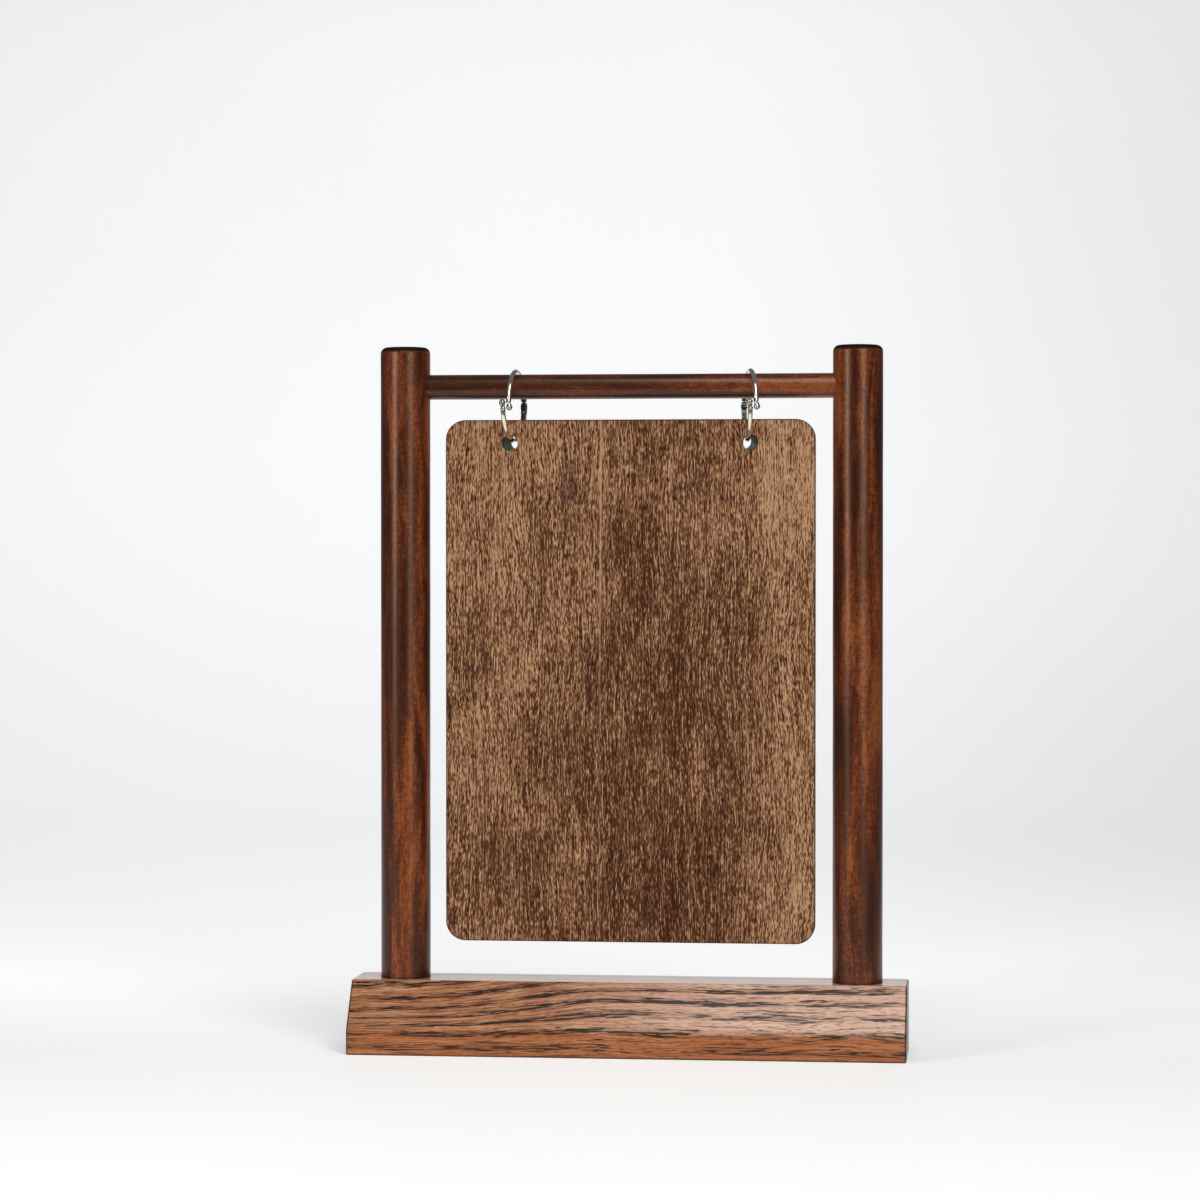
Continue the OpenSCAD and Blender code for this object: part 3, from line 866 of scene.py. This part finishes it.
def make_pin(side, ring):
    """Rivet with a low domed head on each side."""
    half, head, dome = ring.pin_half, PIN_HEAD_R, PIN_DOME
    profile = [(0.05 * MM, -half), (head * 0.5, -half + dome * 0.12), (head * 0.85, -half + dome * 0.5),
               (head, -half + dome), (PIN_R, -half + dome + 0.01 * MM)]
    profile += [(r, -h) for r, h in reversed(profile)]
    bm = bmesh.new()
    lathe(bm, profile, Vector((0, ring.radius, 0)), axis="X", segments=40)
    bm.transform(ring.matrix)
    piece = mesh_object(f"ring_{side}_rivet", bm, materials["nickel_dark"])
    return finish_piece(piece, f"{side}_ring", "nickel_pin", f"ring_{side}_pin")


# ---------------------------------------------------------------- studio

def make_studio():
    """Paper sweep: flat floor, a wide bend up, and an upright part behind."""
    front, back, rise, bend = -0.45, 2.1, 0.95, 0.7
    left, right = -0.85, 0.55
    rows = [(front, 0.0)] + [tuple(p) for p in arc((back - bend, bend), bend, -90, 0, 16)] + [(back, rise)]
    bm = bmesh.new()
    verts = [[bm.verts.new((x, y, z)) for x in (left, right)] for y, z in rows]
    for a, b in zip(verts, verts[1:]):
        bm.faces.new((a[0], a[1], b[1], b[0]))
    mesh_object("studio_sweep", bm, studio_paper())


def area_light(name, place, aim, width, height, power, colour):
    data = bpy.data.lights.new(name, "AREA")
    data.shape = "RECTANGLE"
    data.size, data.size_y = width, height
    data.energy = power
    data.color = colour
    lamp = bpy.data.objects.new(name, data)
    bpy.context.scene.collection.objects.link(lamp)
    lamp.location = place
    lamp.rotation_euler = (Vector(aim) - Vector(place)).to_track_quat("-Z", "Y").to_euler()


def make_lights():
    """Two tall lamps in front and a soft one above. The room looks pale but gives little light."""
    world = bpy.data.worlds.new("studio_world")
    bpy.context.scene.world = world
    world.use_nodes = True
    tree = world.node_tree
    seen = tree.nodes["Background"]
    seen.inputs["Color"].default_value = (0.90, 0.91, 0.92, 1)
    dim = tree.nodes.new("ShaderNodeBackground")
    dim.inputs["Color"].default_value = (1.0, 0.97, 0.94, 1)
    dim.inputs["Strength"].default_value = ROOM_LIGHT
    rays = tree.nodes.new("ShaderNodeLightPath")
    blend = tree.nodes.new("ShaderNodeMixShader")
    tree.links.new(rays.outputs["Is Camera Ray"], blend.inputs["Fac"])
    tree.links.new(dim.outputs[0], blend.inputs[1])
    tree.links.new(seen.outputs[0], blend.inputs[2])
    tree.links.new(blend.outputs[0], tree.nodes["World Output"].inputs["Surface"])
    middle = (0, 0, 0.14)
    area_light("key_left", (-1.15, -1.15, 0.52), middle, 0.26, 0.8, KEY_POWER, WARM)
    area_light("fill_right", (0.85, -1.45, 0.55), middle, 0.60, 1.0, FILL_POWER, WARM)
    area_light("top_soft", (0.30, -0.75, 1.15), (0.10, 0.0, 0.05), 0.8, 0.8, TOP_POWER, NEUTRAL)


def make_camera():
    data = bpy.data.cameras.new("camera")
    cam = bpy.data.objects.new("camera", data)
    bpy.context.scene.collection.objects.link(cam)
    bpy.context.scene.camera = cam
    azimuth, elevation = math.radians(CAMERA_AZIMUTH), math.radians(CAMERA_ELEVATION)
    level = math.cos(elevation)
    back = Vector((math.sin(azimuth) * level, -math.cos(azimuth) * level, math.sin(elevation)))
    cam.location = Vector(CAMERA_AIM) + back * CAMERA_DISTANCE
    cam.rotation_mode = "QUATERNION"
    cam.rotation_quaternion = (-back).to_track_quat("-Z", "Y")
    data.sensor_width = 36
    data.lens = CAMERA_LENS
    data.clip_start, data.clip_end = 0.05, 20


# ---------------------------------------------------------------- making it

post_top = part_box("post_left")[1].z / MM
left_x, right_x = centre_of("post_left").x / MM, centre_of("post_right").x / MM
hinge_y = centre_of("ring_left_pin").y / MM
catch_height = joints["board_lift"]["pos_m"][2] / MM
materials = {
    "base_oak": oak_base(),
    "post_left": dark_wood("walnut_left", "Z", (4, 9, 30), post_top, left_x, 0.030),
    "post_right": dark_wood("walnut_right", "Z", (70, 21, 8), post_top, right_x, -0.022),
    "crossbar": dark_wood("walnut_bar", "X", (15, 44, 3), coat=0.36, tone=0.468),
    "ply": stained_ply(),
    "panel": dark_panel(),
    "nickel": plated("nickel", srgb(236, 232, 220), 0.06, 0.15, 0.20, hinge_y - 3.2, catch_height),
    "nickel_dark": plated("nickel_dark", srgb(190, 184, 172), 0.18, 0.32, 0.5),
    "zinc": plated("zinc", srgb(205, 190, 140), 0.28, 0.42, 0.5),
}

make_camera()
make_base()
for post_side in ("left", "right"):
    make_post(post_side)
make_crossbar()

make_plate("menu_board_ply", "menu_board", "board", "stained_ply", materials["ply"],
           BOARD_HOLE_X, BOARD_HOLE_DROP, 0.22 * MM)
make_plate("back_panel_sheet", "back_panel", "panel", "dark_panel", materials["panel"],
           PANEL_HOLE_X, PANEL_HOLE_DROP, 0.18 * MM)

for ring_side in ("left", "right"):
    ring = Ring(ring_side)
    make_half(ring_side, "lower", ring)
    make_half(ring_side, "upper", ring)
    make_pin(ring_side, ring)

for screw in ("post_screw_left", "post_screw_right"):
    node = frame["nodes"][screw]
    node.data.materials.clear()
    node.data.materials.append(materials["zinc"])

make_studio()
make_lights()
bpy.context.scene.view_settings.view_transform = "Standard"
